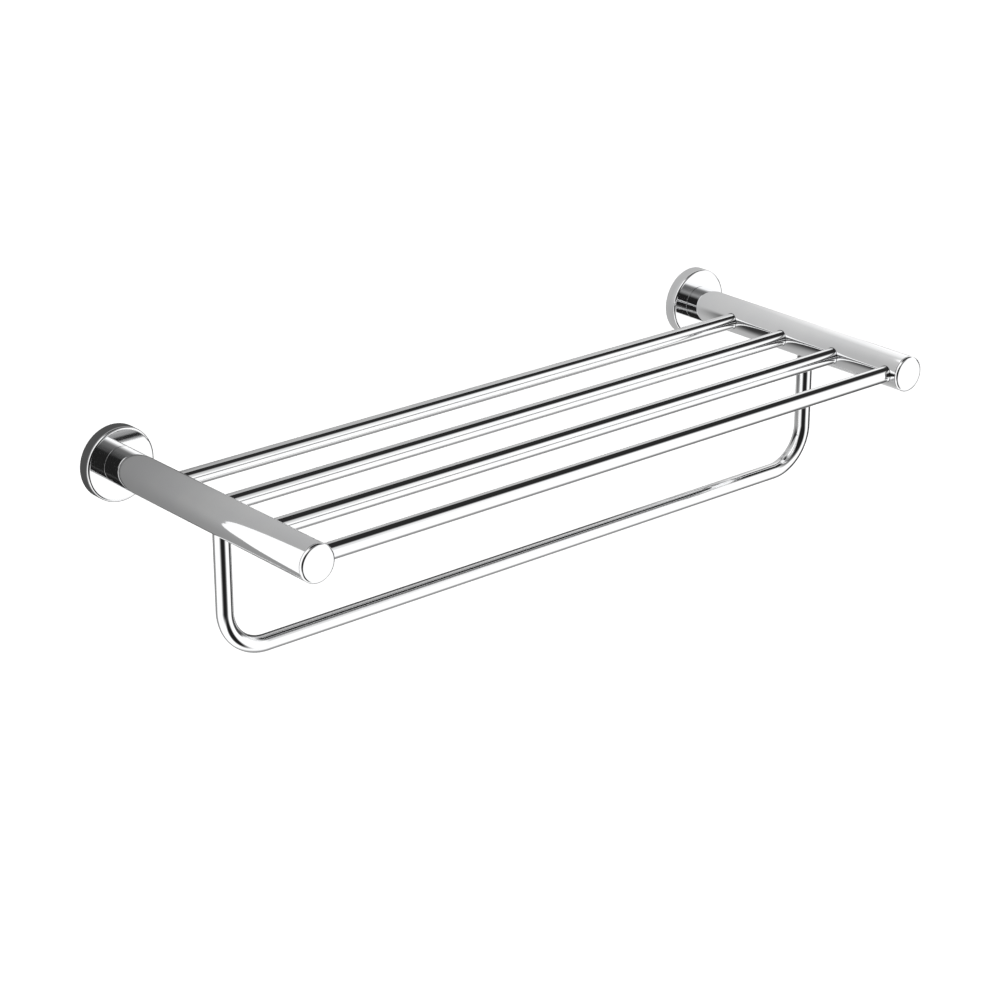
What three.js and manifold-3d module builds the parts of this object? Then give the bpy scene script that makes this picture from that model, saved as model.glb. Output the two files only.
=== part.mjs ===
import * as THREE from 'three';
import { mergeVertices } from 'three/addons/utils/BufferGeometryUtils.js';
import Module from 'manifold-3d';

// Wall-mounted towel shelf with a lower towel bar, in millimetres.
// The wall is the plane y = 0 and the shelf stands out towards -Y. X runs along the rails, +Z is up.
// The origin lies on the wall, midway between the two supports, at the height of the arms' axes.

// Overall layout
const OVERALL_LENGTH = 600;
const ROSETTE_DIAMETER = 54;
const SUPPORT_SPACING = OVERALL_LENGTH - ROSETTE_DIAMETER;
const SUPPORT_X = SUPPORT_SPACING / 2;
const REACH = 234;
const GAP = 0.3;

// Wall rosette and the plate inside it
const ROSETTE_DEPTH = 10;
const ROSETTE_WALL = 2.5;
const ROSETTE_FILLET = 2;
const PLATE_DIAMETER = 46;
const PLATE_THICKNESS = 6.5;
const PLATE_BORE = 20;
const PLATE_EDGE = 0.6;
const SLOT_WIDTH = 5.2;
const SLOT_LENGTH = 8;
const SLOT_OFFSET = 16.5;

// Arm: tube, the threaded insert in its wall end, and the end cap
const ARM_DIAMETER = 27;
const ARM_WALL = 1.5;
const ARM_BORE = ARM_DIAMETER - 2 * ARM_WALL;
const INSERT_LENGTH = 29;
const CAP_THICKNESS = 2.2;
const CAP_FILLET = 1.9;
const CAP_SPIGOT = 3;
const CAP_SPIGOT_WALL = 2;

// Chamfer on the hidden turned pieces
const SPIGOT_EDGE = 0.5;

// Shelf rails
const RAIL_COUNT = 4;
const RAIL_DIAMETER = 12;
const RAIL_WALL = 1;
const RAIL_SPACING = 54;
const FRONT_RAIL_INSET = 12.5;
const RAIL_END_PLAY = 2.8;
const PLUG_FLANGE = 1.2;
const PLUG_FLANGE_STEP = 0.2;
const PLUG_DEPTH = 8;

// Lower towel bar
const BAR_DIAMETER = 12;
const BAR_WALL = 1;
const BAR_DROP = 101;
const BAR_BEND = 32;
const BAR_Y = -127.5;
const BAR_TOP_OVERRUN = 2;
const SPIGOT_LENGTH = 20;
const SPIGOT_THREAD = 6;
const SPIGOT_TAIL = 9;
const NUT_ACROSS_FLATS = 10;
const NUT_HEIGHT = 5;
const BAR_SCREW_DROP = 24;
const BAR_SCREW_SEAT = 2;

// Screws: nominal diameter, and the flats of the hexagon socket
const POST_SCREW = { diameter: 8, head: 13, headHeight: 5, socket: 5, socketDepth: 3, length: 20 };
const ROSETTE_SCREW = { diameter: 5, socket: 2.5, length: 4.4 };
const BAR_SCREW = { diameter: 4, socket: 2, length: 3.3 };
const THREAD_EDGE = 0.3;
const SOCKET_SHARE = 0.5;
const GRUB_RECESS = 0.5;
const GRUB_SEAT_DEPTH = 1.7;
const WASHER_DIAMETER = 13;
const WASHER_THICKNESS = 1;

// Facets around a full turn
const LARGE_FACETS = 36;
const TUBE_FACETS = 24;
const SMALL_FACETS = 12;
const SLOT_FACETS = 6;
const FILLET_STEPS = 3;
const BEND_STEPS = 9;

// How far a cutting tool runs past the surface it cuts
const OVERRUN = 1;

// Corners nearer than this are one corner
const MERGE_DISTANCE = 1e-4;

const wasm = await Module();
wasm.setup();

function finish(color, roughness, metalness) {
  return new THREE.MeshStandardMaterial({ color, roughness, metalness });
}

const chrome = () => finish(0xe2e4e6, 0.05, 1);
const plateSteel = () => finish(0xa9acaf, 0.4, 1);
const screwSteel = () => finish(0xb9bbbd, 0.3, 1);
const brass = () => finish(0xc2a15c, 0.35, 1);
const nylon = () => finish(0xe8e6df, 0.55, 0);

// A solid from a closed geometry: shared corners merged, triangles without area dropped.
function solid(geometry) {
  const bare = geometry.clone();
  bare.deleteAttribute('normal');
  bare.deleteAttribute('uv');
  const merged = mergeVertices(bare, MERGE_DISTANCE);
  const index = merged.index.array;
  const triangles = [];
  for (let i = 0; i < index.length; i += 3) {
    const [a, b, c] = [index[i], index[i + 1], index[i + 2]];
    if (a !== b && b !== c && c !== a) triangles.push(a, b, c);
  }
  const vertProperties = new Float32Array(merged.attributes.position.array);
  const triVerts = new Uint32Array(triangles);
  return new wasm.Manifold(new wasm.Mesh({ numProp: 3, vertProperties, triVerts }));
}

function geometryOf(body) {
  const { vertProperties, triVerts } = body.getMesh();
  const geometry = new THREE.BufferGeometry();
  geometry.setAttribute('position', new THREE.BufferAttribute(new Float32Array(vertProperties), 3));
  geometry.setIndex(new THREE.BufferAttribute(new Uint32Array(triVerts), 1));
  geometry.computeVertexNormals();
  return geometry;
}

// A turned piece: the profile lists [radius, height] counter-clockwise, and the axis is +Y.
function turned(profile, facets) {
  const points = profile.map(([radius, height]) => new THREE.Vector2(radius, height));
  return new THREE.LatheGeometry(points, facets);
}

function rod(radius, from, to, facets) {
  return turned([[0, from], [radius, from], [radius, to], [0, to]], facets);
}

// A ring or tube profile, closed on itself, with an edge chamfer at either end of its outside.
function ring(inner, outer, from, to, facets, fromEdge = 0, toEdge = 0) {
  const profile = [[inner, from], [outer - fromEdge, from]];
  if (fromEdge > 0) profile.push([outer, from + fromEdge]);
  if (toEdge > 0) profile.push([outer, to - toEdge]);
  profile.push([outer - toEdge, to], [inner, to], [inner, from]);
  return turned(profile, facets);
}

// A hexagon bar along +Y, given by the distance across its flats.
function hexagon(acrossFlats, from, to) {
  return rod(acrossFlats / Math.sqrt(3), from, to, 6);
}

const towardsRoom = (geometry) => geometry.rotateX(Math.PI);
const alongX = (geometry) => geometry.rotateZ(-Math.PI / 2);
const upwards = (geometry) => geometry.rotateX(Math.PI / 2);

function wallPlate() {
  const radius = PLATE_DIAMETER / 2;
  let body = solid(ring(PLATE_BORE / 2, radius, 0, PLATE_THICKNESS, LARGE_FACETS, 0, PLATE_EDGE));
  const straight = (SLOT_LENGTH - SLOT_WIDTH) / 2;
  for (const side of [-1, 1]) {
    const outline = new THREE.Shape();
    outline.absarc(side * SLOT_OFFSET, straight, SLOT_WIDTH / 2, 0, Math.PI, false);
    outline.absarc(side * SLOT_OFFSET, -straight, SLOT_WIDTH / 2, Math.PI, 2 * Math.PI, false);
    const depth = PLATE_THICKNESS + 2 * OVERRUN;
    const settings = { depth, bevelEnabled: false, curveSegments: SLOT_FACETS };
    const cutter = new THREE.ExtrudeGeometry(outline, settings);
    cutter.rotateX(-Math.PI / 2);
    cutter.translate(0, -OVERRUN, 0);
    body = body.subtract(solid(cutter));
  }
  const bore = ROSETTE_SCREW.diameter / 2 + GAP;
  const seat = rod(bore, radius - GRUB_SEAT_DEPTH, radius + OVERRUN, SMALL_FACETS);
  seat.rotateX(Math.PI / 2);
  seat.translate(0, PLATE_THICKNESS / 2, 0);
  return towardsRoom(geometryOf(body.subtract(solid(seat))));
}

// Points of a quarter-round edge, from the side face of a disc round to its front face.
function roundedEdge(outer, front, fillet) {
  const points = [];
  for (let step = 0; step <= FILLET_STEPS; step += 1) {
    const angle = (step / FILLET_STEPS) * Math.PI / 2;
    const radius = outer - fillet + fillet * Math.cos(angle);
    points.push([radius, front - fillet + fillet * Math.sin(angle)]);
  }
  return points;
}

function rosette() {
  const outer = ROSETTE_DIAMETER / 2;
  const inner = outer - ROSETTE_WALL;
  const floor = ROSETTE_DEPTH - ROSETTE_WALL;
  const bore = POST_SCREW.diameter / 2 + GAP;
  const cup = turned([
    [bore, floor],
    [inner, floor],
    [inner, 0],
    [outer, 0],
    ...roundedEdge(outer, ROSETTE_DEPTH, ROSETTE_FILLET),
    [bore, ROSETTE_DEPTH],
    [bore, floor],
  ], LARGE_FACETS);
  const hole = rod(ROSETTE_SCREW.diameter / 2 + GAP, inner - OVERRUN, outer + OVERRUN, SMALL_FACETS);
  hole.rotateX(Math.PI / 2);
  hole.translate(0, PLATE_THICKNESS / 2, 0);
  return towardsRoom(geometryOf(solid(cup).subtract(solid(hole))));
}

// A headless screw along +Y with a cone point at the bottom and a hexagon socket in the top.
function grubScrew({ diameter, socket, length }, top) {
  const radius = diameter / 2;
  const bottom = top - length;
  const tip = radius / 2;
  const shank = turned([
    [0, bottom],
    [tip, bottom],
    [radius, bottom + tip],
    [radius, top - THREAD_EDGE],
    [radius - THREAD_EDGE, top],
    [0, top],
  ], SMALL_FACETS);
  const key = hexagon(socket, top - length * SOCKET_SHARE, top + OVERRUN);
  return geometryOf(solid(shank).subtract(solid(key)));
}

function rosetteScrew() {
  const geometry = grubScrew(ROSETTE_SCREW, ROSETTE_DIAMETER / 2 - GRUB_RECESS);
  geometry.rotateX(-Math.PI / 2);
  geometry.translate(0, -PLATE_THICKNESS / 2, 0);
  return geometry;
}

function postWasher() {
  const back = ROSETTE_DEPTH - ROSETTE_WALL - GAP - WASHER_THICKNESS;
  const bore = POST_SCREW.diameter / 2 + GAP;
  return towardsRoom(ring(bore, WASHER_DIAMETER / 2, back, back + WASHER_THICKNESS, SMALL_FACETS));
}

function postScrew() {
  const { diameter, head, headHeight, socket, socketDepth, length } = POST_SCREW;
  const seat = ROSETTE_DEPTH - ROSETTE_WALL - WASHER_THICKNESS - 2 * GAP;
  const crown = seat - headHeight;
  const blank = turned([
    [0, crown],
    [head / 2 - SPIGOT_EDGE, crown],
    [head / 2, crown + SPIGOT_EDGE],
    [head / 2, seat],
    [diameter / 2, seat],
    [diameter / 2, seat + length - SPIGOT_EDGE],
    [diameter / 2 - SPIGOT_EDGE, seat + length],
    [0, seat + length],
  ], SMALL_FACETS);
  const key = hexagon(socket, crown - OVERRUN, crown + socketDepth);
  return towardsRoom(geometryOf(solid(blank).subtract(solid(key))));
}

// The block brazed into the wall end of the arm, with the blind tapped hole for the post screw.
function armInsert() {
  const back = ROSETTE_DEPTH + GAP;
  const front = back + INSERT_LENGTH;
  const radius = ARM_BORE / 2 - GAP;
  const bore = POST_SCREW.diameter / 2 + GAP;
  const boreEnd = ROSETTE_DEPTH + POST_SCREW.length;
  return towardsRoom(turned([
    [bore, back],
    [radius, back],
    [radius, front - SPIGOT_EDGE],
    [radius - SPIGOT_EDGE, front],
    [0, front],
    [0, boreEnd],
    [bore, boreEnd],
    [bore, back],
  ], LARGE_FACETS));
}

function railY(rail) {
  return -REACH + FRONT_RAIL_INSET + (RAIL_COUNT - rail) * RAIL_SPACING;
}

// The arm tube of the support on one side: the rails enter its inner wall, facing the other arm.
function armTube(side) {
  const back = ROSETTE_DEPTH + GAP;
  const front = REACH - CAP_THICKNESS - GAP;
  const tube = ring(ARM_BORE / 2, ARM_DIAMETER / 2, back, front, LARGE_FACETS);
  let body = solid(towardsRoom(tube));
  for (let rail = 1; rail <= RAIL_COUNT; rail += 1) {
    const hole = alongX(rod(RAIL_DIAMETER / 2 + GAP, 0, ARM_DIAMETER, TUBE_FACETS));
    hole.rotateY(side > 0 ? Math.PI : 0);
    hole.translate(0, railY(rail), 0);
    body = body.subtract(solid(hole));
  }
  const hole = upwards(rod(SPIGOT_THREAD / 2 + GAP, -ARM_DIAMETER, 0, SMALL_FACETS));
  hole.translate(0, BAR_Y, 0);
  return geometryOf(body.subtract(solid(hole)));
}

function endCap() {
  const radius = ARM_DIAMETER / 2;
  const back = REACH - CAP_THICKNESS;
  const spigot = ARM_BORE / 2 - GAP;
  return towardsRoom(turned([
    [0, back],
    [spigot - CAP_SPIGOT_WALL, back],
    [spigot - CAP_SPIGOT_WALL, back - CAP_SPIGOT],
    [spigot, back - CAP_SPIGOT],
    [spigot, back],
    [radius, back],
    ...roundedEdge(radius, REACH, CAP_FILLET),
    [0, REACH],
  ], LARGE_FACETS));
}

// Half the length of a rail: it reaches almost to the outer wall of each arm's bore.
const railHalf = SUPPORT_X + ARM_BORE / 2 - RAIL_END_PLAY - PLUG_FLANGE;

function shelfRail() {
  const outer = RAIL_DIAMETER / 2;
  return alongX(ring(outer - RAIL_WALL, outer, -railHalf, railHalf, TUBE_FACETS));
}

function railEndPlug(side) {
  const stem = RAIL_DIAMETER / 2 - RAIL_WALL - GAP;
  const flange = RAIL_DIAMETER / 2 - PLUG_FLANGE_STEP;
  const plug = turned([
    [0, -PLUG_DEPTH],
    [stem - SPIGOT_EDGE, -PLUG_DEPTH],
    [stem, -PLUG_DEPTH + SPIGOT_EDGE],
    [stem, GAP],
    [flange, GAP],
    [flange, PLUG_FLANGE - THREAD_EDGE],
    [flange - THREAD_EDGE, PLUG_FLANGE],
    [0, PLUG_FLANGE],
  ], SMALL_FACETS);
  plug.translate(0, railHalf, 0);
  return alongX(plug).rotateY(side < 0 ? Math.PI : 0);
}

// The bar's centre line: straight legs and a straight run joined by round bends.
// Its stations are evenly spaced in the curve's parameter, so straights take one step each.
class BarPath extends THREE.Curve {
  constructor(stations) {
    super();
    this.stations = stations;
  }

  getPoint(t, target = new THREE.Vector3()) {
    const place = t * (this.stations.length - 1);
    const before = Math.min(Math.floor(place), this.stations.length - 2);
    return target.copy(this.stations[before].point).lerp(this.stations[before + 1].point, place - before);
  }

  getTangent(t, target = new THREE.Vector3()) {
    return target.copy(this.stations[Math.round(t * (this.stations.length - 1))].direction);
  }

  getUtoTmapping(u) {
    return u;
  }
}

function barStations() {
  const down = new THREE.Vector3(0, 0, -1);
  const up = new THREE.Vector3(0, 0, 1);
  const top = -ARM_BORE / 2 + BAR_TOP_OVERRUN;
  const stations = [{ point: new THREE.Vector3(-SUPPORT_X, 0, top), direction: down }];
  for (const side of [-1, 1]) {
    const centreX = side * (SUPPORT_X - BAR_BEND);
    const centreZ = -BAR_DROP + BAR_BEND;
    for (let step = 0; step <= BEND_STEPS; step += 1) {
      const turn = (side < 0 ? step : BEND_STEPS - step) / BEND_STEPS;
      const angle = turn * Math.PI / 2;
      const x = centreX + side * BAR_BEND * Math.cos(angle);
      const z = centreZ - BAR_BEND * Math.sin(angle);
      const direction = new THREE.Vector3(Math.sin(angle), 0, side * Math.cos(angle));
      stations.push({ point: new THREE.Vector3(x, 0, z), direction });
    }
  }
  stations.push({ point: new THREE.Vector3(SUPPORT_X, 0, top), direction: up });
  return stations;
}

function towelBar() {
  const section = new THREE.Shape();
  section.absarc(0, 0, BAR_DIAMETER / 2, 0, 2 * Math.PI, false);
  const bore = new THREE.Path();
  bore.absarc(0, 0, BAR_DIAMETER / 2 - BAR_WALL, 0, 2 * Math.PI, true);
  section.holes.push(bore);
  const path = new BarPath(barStations());
  const steps = path.stations.length - 1;
  const curveSegments = TUBE_FACETS / 2;
  let body = solid(new THREE.ExtrudeGeometry(section, { steps, extrudePath: path, curveSegments }));
  for (const side of [-1, 1]) {
    const cope = rod(ARM_DIAMETER / 2 + GAP, -ARM_DIAMETER, ARM_DIAMETER, LARGE_FACETS);
    cope.translate(side * SUPPORT_X, 0, 0);
    const hole = rod(BAR_SCREW.diameter / 2 + GAP, 0, BAR_DIAMETER, SMALL_FACETS);
    hole.translate(side * SUPPORT_X, 0, -BAR_SCREW_DROP);
    body = body.subtract(solid(cope)).subtract(solid(hole));
  }
  return geometryOf(body).translate(0, BAR_Y, 0);
}

function barSpigot() {
  const radius = BAR_DIAMETER / 2 - BAR_WALL - GAP;
  const shoulder = -ARM_DIAMETER / 2 - GAP;
  const blank = upwards(turned([
    [0, shoulder - SPIGOT_LENGTH],
    [radius - SPIGOT_EDGE, shoulder - SPIGOT_LENGTH],
    [radius, shoulder - SPIGOT_LENGTH + SPIGOT_EDGE],
    [radius, shoulder],
    [SPIGOT_THREAD / 2, shoulder],
    [SPIGOT_THREAD / 2, shoulder + SPIGOT_TAIL],
    [0, shoulder + SPIGOT_TAIL],
  ], SMALL_FACETS));
  const seat = rod(BAR_SCREW.diameter / 2 + GAP, BAR_SCREW_SEAT, BAR_DIAMETER, SMALL_FACETS);
  seat.translate(0, 0, -BAR_SCREW_DROP);
  return geometryOf(solid(blank).subtract(solid(seat))).translate(0, BAR_Y, 0);
}

function barSpigotNut() {
  const bottom = -Math.sqrt((ARM_BORE / 2) ** 2 - NUT_ACROSS_FLATS ** 2 / 3) + GAP;
  const blank = solid(hexagon(NUT_ACROSS_FLATS, bottom, bottom + NUT_HEIGHT));
  const top = bottom + NUT_HEIGHT;
  const bore = solid(rod(SPIGOT_THREAD / 2 + GAP, bottom - OVERRUN, top + OVERRUN, SMALL_FACETS));
  return upwards(geometryOf(blank.subtract(bore))).translate(0, BAR_Y, 0);
}

function barScrew() {
  return grubScrew(BAR_SCREW, BAR_DIAMETER / 2 - GRUB_RECESS).translate(0, BAR_Y, -BAR_SCREW_DROP);
}

const rack = new THREE.Group();

function add(parent, name, geometry, material, y = 0) {
  const mesh = new THREE.Mesh(geometry, material);
  mesh.name = name;
  mesh.position.y = y;
  parent.add(mesh);
}

for (const [label, side] of [['left', -1], ['right', 1]]) {
  const support = new THREE.Group();
  support.position.x = side * SUPPORT_X;
  add(support, `${label}_wall_plate`, wallPlate(), plateSteel());
  add(support, `${label}_rosette`, rosette(), chrome());
  add(support, `${label}_rosette_grub_screw`, rosetteScrew(), screwSteel());
  add(support, `${label}_post_washer`, postWasher(), screwSteel());
  add(support, `${label}_post_screw`, postScrew(), screwSteel());
  add(support, `${label}_arm_insert`, armInsert(), brass());
  add(support, `${label}_arm_tube`, armTube(side), chrome());
  add(support, `${label}_end_cap`, endCap(), chrome());
  add(support, `${label}_bar_spigot`, barSpigot(), brass());
  add(support, `${label}_bar_spigot_nut`, barSpigotNut(), screwSteel());
  add(support, `${label}_bar_grub_screw`, barScrew(), screwSteel());
  rack.add(support);
}

for (let rail = 1; rail <= RAIL_COUNT; rail += 1) {
  add(rack, `shelf_rail_${rail}`, shelfRail(), chrome(), railY(rail));
  add(rack, `rail_end_plug_left_${rail}`, railEndPlug(-1), nylon(), railY(rail));
  add(rack, `rail_end_plug_right_${rail}`, railEndPlug(1), nylon(), railY(rail));
}

add(rack, 'towel_bar', towelBar(), chrome());

export default rack;
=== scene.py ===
import math
from collections import namedtuple
from functools import lru_cache

import bmesh
import bpy
from mathutils import Matrix, Vector


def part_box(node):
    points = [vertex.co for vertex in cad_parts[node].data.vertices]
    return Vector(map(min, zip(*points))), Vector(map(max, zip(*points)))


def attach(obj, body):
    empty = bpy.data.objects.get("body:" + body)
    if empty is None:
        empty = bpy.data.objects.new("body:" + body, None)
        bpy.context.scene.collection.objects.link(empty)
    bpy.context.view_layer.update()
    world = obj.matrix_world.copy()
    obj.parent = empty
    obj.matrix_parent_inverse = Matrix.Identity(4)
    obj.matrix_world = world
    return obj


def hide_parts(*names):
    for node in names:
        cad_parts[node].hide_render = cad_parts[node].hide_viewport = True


# Wall-mounted chrome towel shelf. X runs along the rails, the wall is the plane y = 0, +Z is up.

MM = 0.001
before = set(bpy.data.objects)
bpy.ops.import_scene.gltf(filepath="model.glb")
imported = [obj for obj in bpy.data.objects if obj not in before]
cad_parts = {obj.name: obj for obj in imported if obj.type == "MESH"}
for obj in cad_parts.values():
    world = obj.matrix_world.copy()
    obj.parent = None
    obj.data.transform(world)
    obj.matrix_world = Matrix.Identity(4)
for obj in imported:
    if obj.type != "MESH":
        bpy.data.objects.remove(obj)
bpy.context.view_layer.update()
box_of = lru_cache(maxsize=None)(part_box)

# Camera, at the photograph's viewing angle
CAMERA_PLACE = (-1.2299, -1.5422, 0.7005)
CAMERA_HEADING = 40.20
CAMERA_TILT = -22.12
CAMERA_ROLL = -0.085
CAMERA_LENS = 101.36
SENSOR_WIDTH = 36.0
CLIP_START, CLIP_END = 0.05, 60

SUPPORTS = ("left", "right")
RAILS = (1, 2, 3, 4)

# Sizes that no box of a CAD node tells
GAP = 0.3 * MM
ARM_WALL = 1.5 * MM
TUBE_WALL = 1 * MM
BEND_RADIUS = 32 * MM
PLATE_BORE_RADIUS, PLATE_BEVEL = 10 * MM, 0.5 * MM
PLATE_SEAT_INSET, PLATE_SEAT_DEPTH = 1.7 * MM, 5 * MM
SLOT_WIDTH, SLOT_LENGTH, SLOT_OFFSET = 5.2 * MM, 8 * MM, 16.5 * MM
ROSETTE_WALL, ROSETTE_FILLET = 2.5 * MM, 2 * MM
ROSETTE_INNER_FILLET, ROSETTE_BACK_FILLET = 0.8 * MM, 0.25 * MM
ROSETTE_HOLE_RISE, ROSETTE_HOLE_LENGTH = 3 * MM, 8 * MM
INSERT_SOLID_END = 9.5 * MM
CAP_SPIGOT_WALL, CAP_FILLET = 2 * MM, 1.9 * MM
SPIGOT_TAIL = 9 * MM
SPIGOT_SEAT_OFFSET = 2 * MM
ROSETTE_SCREW_SOCKET, BAR_SCREW_SOCKET = 2.5 * MM, 2 * MM

# Broken edges, from one inside the assembly to a soft one
HIDDEN_EDGE = 0.1 * MM
FINE_EDGE = 0.15 * MM
SMALL_EDGE = 0.2 * MM
SOFT_EDGE = 0.3 * MM

# Threads: nominal radius and pitch; the groove's depth as a share of the pitch; its trapezoid, as the
# height it would reach uncut, in depths, and the slope of its flanks, in depths for each pitch
M8 = (4 * MM, 1.25 * MM)
M6 = (3 * MM, 1.0 * MM)
M5 = (2.5 * MM, 0.8 * MM)
M4 = (2 * MM, 0.7 * MM)
THREAD_CUT = 0.55
FLANK_HEIGHT, FLANK_SLOPE = 1.25, 4
RINGS_PER_PITCH = 8

# Points round a full turn, and along a fillet or a bend
ROUND = 144
TUBE_ROUND = 96
HOLE_ROUND = 64
SCREW_ROUND = 48
FILLET_STEPS = 6
PLATE_BEVEL_STEPS = 3
BEND_STEPS = 48
SHARP = math.radians(32)

# Lengths that count as nothing: a point on an axis, a stretch without length, points to be merged
ON_AXIS = 1e-9
NO_STRETCH = 1e-18
MERGE_DISTANCE = 1e-7

TO_ROOM = Vector((0, -1, 0))
TO_WALL = Vector((0, 1, 0))
ALONG = Vector((1, 0, 0))
UP = Vector((0, 0, 1))
DOWN = Vector((0, 0, -1))


# ---------------------------------------------------------------- camera

def make_camera():
    data = bpy.data.cameras.new("camera")
    data.sensor_width = SENSOR_WIDTH
    data.lens = CAMERA_LENS
    data.clip_start = CLIP_START
    data.clip_end = CLIP_END
    camera = bpy.data.objects.new("camera", data)
    bpy.context.scene.collection.objects.link(camera)
    turn = Matrix.Rotation(math.radians(-CAMERA_HEADING), 4, "Z")
    tilt = Matrix.Rotation(math.radians(90 + CAMERA_TILT), 4, "X")
    roll = Matrix.Rotation(math.radians(CAMERA_ROLL), 4, "Z")
    camera.matrix_world = Matrix.Translation(CAMERA_PLACE) @ turn @ tilt @ roll
    bpy.context.scene.camera = camera


# ---------------------------------------------------------------- node helpers

class Graph:
    """A shader node tree with short calls for maths on sockets and numbers."""

    def __init__(self, tree):
        self.tree = tree
        tree.nodes.clear()

    def node(self, kind, **settings):
        made = self.tree.nodes.new(kind)
        for key, value in settings.items():
            setattr(made, key, value)
        return made

    def put(self, socket, value):
        if isinstance(value, bpy.types.NodeSocket):
            self.tree.links.new(value, socket)
        else:
            socket.default_value = value

    def math(self, operation, *values):
        made = self.node("ShaderNodeMath", operation=operation)
        for socket, value in zip(made.inputs, values):
            self.put(socket, value)
        return made.outputs[0]

    def vector(self, operation, *values, output=0):
        made = self.node("ShaderNodeVectorMath", operation=operation)
        for socket, value in zip(made.inputs, values):
            self.put(socket, value)
        return made.outputs[output]

    def ramp(self, value, low, high, to_low=0.0, to_high=1.0, smooth=True):
        made = self.node("ShaderNodeMapRange")
        made.interpolation_type = "SMOOTHSTEP" if smooth else "LINEAR"
        for socket, entry in zip(made.inputs, (value, low, high, to_low, to_high)):
            self.put(socket, entry)
        return made.outputs[0]

    def blend(self, share, first, second):
        made = self.node("ShaderNodeMix", data_type="FLOAT")
        for socket, value in zip(made.inputs[0:1] + made.inputs[2:4], (share, first, second)):
            self.put(socket, value)
        return made.outputs[0]

    def colours(self, share, first, second):
        made = self.node("ShaderNodeMix", data_type="RGBA")
        sockets = (made.inputs[0], made.inputs[6], made.inputs[7])
        for socket, value in zip(sockets, (share, first, second)):
            self.put(socket, value)
        return made.outputs[2]

    def noise(self, place, scale, detail):
        made = self.node("ShaderNodeTexNoise")
        for socket, value in (("Vector", place), ("Scale", scale), ("Detail", detail)):
            self.put(made.inputs[socket], value)
        return made.outputs[0]

    def bump(self, height, strength, distance):
        made = self.node("ShaderNodeBump")
        for socket, value in (("Height", height), ("Strength", strength), ("Distance", distance)):
            self.put(made.inputs[socket], value)
        return made.outputs[0]

    def surface(self, shader, kind="ShaderNodeOutputMaterial"):
        self.put(self.node(kind).inputs["Surface"], shader.outputs[0])


def new_material(name):
    material = bpy.data.materials.new(name)
    material.use_nodes = True
    return material, Graph(material.node_tree)


def tone(level):
    """Linear light for a grey level from 0 to 255."""
    level /= 255
    return level / 12.92 if level <= 0.04045 else ((level + 0.055) / 1.055) ** 2.4


def towards(heading, elevation):
    """Unit vector: heading 0 is the wall side (+Y), 90 is +X; elevation is above the horizon."""
    a, e = math.radians(heading), math.radians(elevation)
    return (math.sin(a) * math.cos(e), math.cos(a) * math.cos(e), math.sin(e))


# ---------------------------------------------------------------- studio

# What the chrome mirrors: soft grey patches in a white room, each as
# (heading, elevation, full-strength angle, fade-out angle, grey level)
WHITE = (1, 1, 1, 1)
STUDIO_LEVEL = 264
STUDIO_PATCHES = (
    (60, -40, 26, 48, 148),
    (82, -20, 20, 36, 76),
    (106, -20, 14, 20, 72),
    (88, 66, 27, 44, 42),
    (172, 38, 6, 34, 105),
    (-153, 2, 28, 51, 32),
    (-175, -47, 15, 28, 32),
)


def make_world():
    world = bpy.data.worlds.new("studio")
    world.use_nodes = True
    bpy.context.scene.world = world
    g = Graph(world.node_tree)
    direction = g.vector("NORMALIZE", g.node("ShaderNodeTexCoord").outputs["Generated"])
    level = tone(STUDIO_LEVEL)
    for heading, elevation, full, out, grey in STUDIO_PATCHES:
        cosine = g.vector("DOT_PRODUCT", direction, towards(heading, elevation), output=1)
        mask = g.ramp(cosine, math.cos(math.radians(out)), math.cos(math.radians(full)))
        level = g.blend(mask, level, tone(grey))
    seen = g.node("ShaderNodeLightPath").outputs["Is Camera Ray"]
    background = g.node("ShaderNodeBackground")
    g.put(background.inputs["Color"], WHITE)
    g.put(background.inputs["Strength"], g.blend(seen, level, 1.0))
    g.surface(background, "ShaderNodeOutputWorld")


def stage_plane(name, corners):
    mesh = bpy.data.meshes.new(name)
    mesh.from_pydata(corners, [], [range(len(corners))])
    made = bpy.data.objects.new(name, mesh)
    bpy.context.scene.collection.objects.link(made)
    return made


FLOOR_REACH, FLOOR_HEIGHT = 12.0, -1.25
FLOOR_COLOUR, FLOOR_ROUGHNESS, FLOOR_GLOW = (0.9, 0.9, 0.9, 1), 0.9, 0.6


def make_floor():
    a, z = FLOOR_REACH, FLOOR_HEIGHT
    floor = stage_plane("floor", [(-a, -a, z), (a, -a, z), (a, a, z), (-a, a, z)])
    floor.visible_glossy = False
    material, g = new_material("pale_floor")
    shader = g.node("ShaderNodeBsdfPrincipled")
    g.put(shader.inputs["Base Color"], FLOOR_COLOUR)
    g.put(shader.inputs["Roughness"], FLOOR_ROUGHNESS)
    g.put(shader.inputs["Emission Color"], WHITE)
    g.put(shader.inputs["Emission Strength"], FLOOR_GLOW)
    g.surface(shader)
    floor.data.materials.append(material)


# The lit part of the wall behind the shelf, as (x, z) corners, and its (x, grey level) from left to
# right: painted light, brighter towards the right. Painted shade darkens it at its foot, round the
# rosettes, close beside their rims and behind the shelf.
WALL_Y = 3 * MM
WALL_CORNERS = ((-0.375, 0.20), (-0.415, 0.02), (-0.405, -0.09), (-0.365, -0.20),
                (-0.1, -0.5), (0.5, -0.5), (0.5, 0.30), (-0.35, 0.30))
WALL_GREYS = ((-0.34, 174), (0.05, 186), (0.23, 205), (0.33, 213), (0.45, 252))
WALL_FOOT_SHADE = ((-0.16, 0.05), 0.72)
ROSETTE_SHADE = {"left": 0.55, "right": 0.85}
SHADE_REACH = (0.0, 0.18)
RIM_SHADE = {"left": 0.32, "right": 0.9}
RIM_REACH = (0.0365, 0.039)
SHELF_SHADE_X = ((-0.27, -0.22), (0.25, 0.18))
SHELF_SHADE_Z = ((-0.17, -0.05), (0.015, -0.01))
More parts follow.
